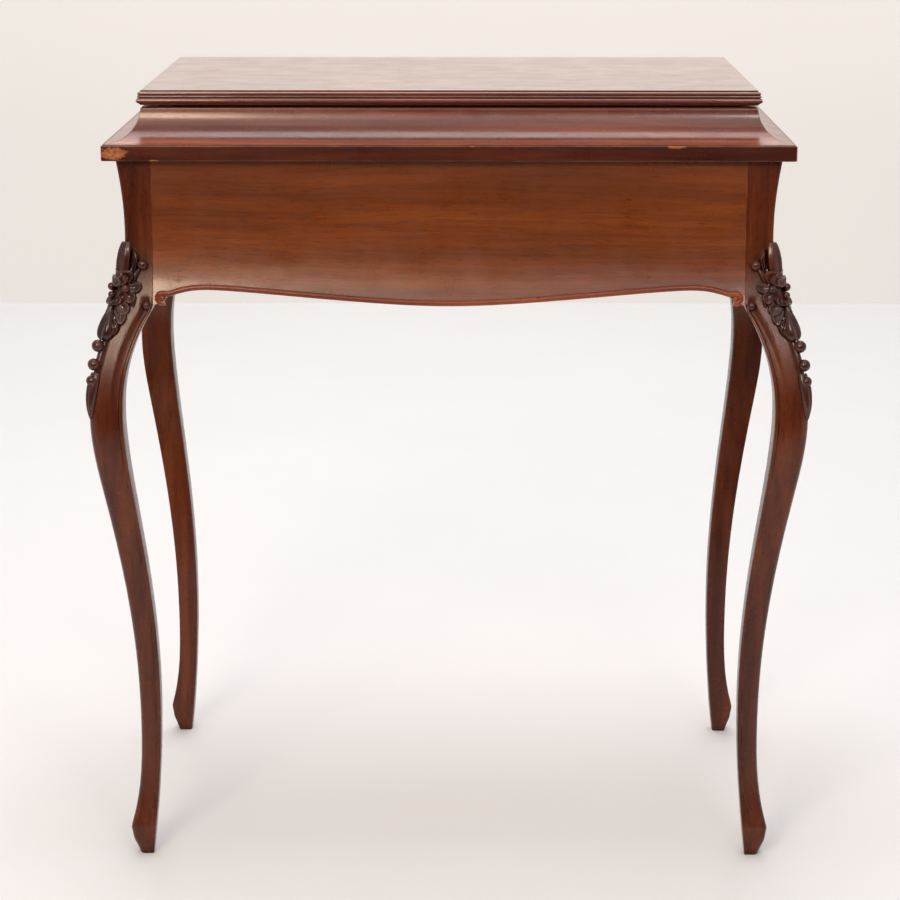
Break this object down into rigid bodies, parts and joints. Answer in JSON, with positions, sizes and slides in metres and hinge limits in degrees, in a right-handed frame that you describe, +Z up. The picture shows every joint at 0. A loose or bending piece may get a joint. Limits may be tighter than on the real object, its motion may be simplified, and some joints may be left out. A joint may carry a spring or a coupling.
{
  "type": "sewing table",
  "caption": "Work table with cabriole legs, concave case, coved top and a hinged reeded lid over a lift-out sewing tray.",
  "frame": {"origin": "on the floor under the middle of the case", "axes": "+Z up, the front of the table faces -Y, +X to the right seen from the front"},
  "size_m": [0.6566, 0.4646, 0.72],
  "materials": {
    "mahogany": "french polished, dark red-brown",
    "inner_wood": "waxed, lighter than the outside",
    "brass": "aged, lightly tarnished",
    "velvet": "cotton velvet",
    "bone": null
  },
  "bodies": {
    "case": {"apron_back": "mahogany", "apron_bead_back": "mahogany", "apron_bead_front": "mahogany", "apron_bead_left": "mahogany", "apron_bead_right": "mahogany", "apron_front": "mahogany", "apron_left": "mahogany", "apron_right": "mahogany", "bottom_panel": "inner_wood", "cove_back": "mahogany", "cove_front": "mahogany", "cove_left": "mahogany", "cove_right": "mahogany", "glue_blocks": "inner_wood", "hinge_case_screws": "brass", "hinge_left_case_leaf": "brass", "hinge_left_pin": "brass", "hinge_right_case_leaf": "brass", "hinge_right_pin": "brass", "leg_back_left": "mahogany", "leg_back_right": "mahogany", "leg_front_left": "mahogany", "leg_front_right": "mahogany", "top_band_back": "mahogany", "top_band_front": "mahogany", "top_band_left": "mahogany", "top_band_right": "mahogany", "tray_ledge_back": "inner_wood", "tray_ledge_front": "inner_wood", "tray_ledge_left": "inner_wood", "tray_ledge_right": "inner_wood"},
    "lid": {"hinge_left_lid_leaf": "brass", "hinge_lid_screws": "brass", "hinge_right_lid_leaf": "brass", "lid_board": "mahogany", "lid_edge_front": "mahogany", "lid_edge_left": "mahogany", "lid_edge_right": "mahogany"},
    "tray": {"tray_back": "inner_wood", "tray_bottom": "inner_wood", "tray_divider_left": "inner_wood", "tray_divider_left_bay": "inner_wood", "tray_divider_middle": "inner_wood", "tray_divider_pad_left": "inner_wood", "tray_divider_pad_right": "inner_wood", "tray_divider_right": "inner_wood", "tray_divider_right_bay": "inner_wood", "tray_front": "inner_wood", "tray_left": "inner_wood", "tray_right": "inner_wood", "pincushion": "velvet"},
    "compartment_lid_left": {"compartment_lid_left": "inner_wood", "compartment_knob_left": "bone"},
    "compartment_lid_right": {"compartment_lid_right": "inner_wood", "compartment_knob_right": "bone"}
  },
  "joints": [
    {"name": "lid_hinge", "type": "hinge", "parent": "case", "child": "lid", "pos_m": [0, 0.185, 0.70575], "axis": [-1, 0, 0], "range_deg": [0, 95]},
    {"name": "tray_lift", "type": "slide", "parent": "case", "child": "tray", "axis": [0, 0, 1], "range_m": [0, 0.02]},
    {"name": "compartment_lid_left_lift", "type": "slide", "parent": "tray", "child": "compartment_lid_left", "axis": [0, 0, 1], "range_m": [0, 0.02]},
    {"name": "compartment_lid_right_lift", "type": "slide", "parent": "tray", "child": "compartment_lid_right", "axis": [0, 0, 1], "range_m": [0, 0.02]}
  ]
}
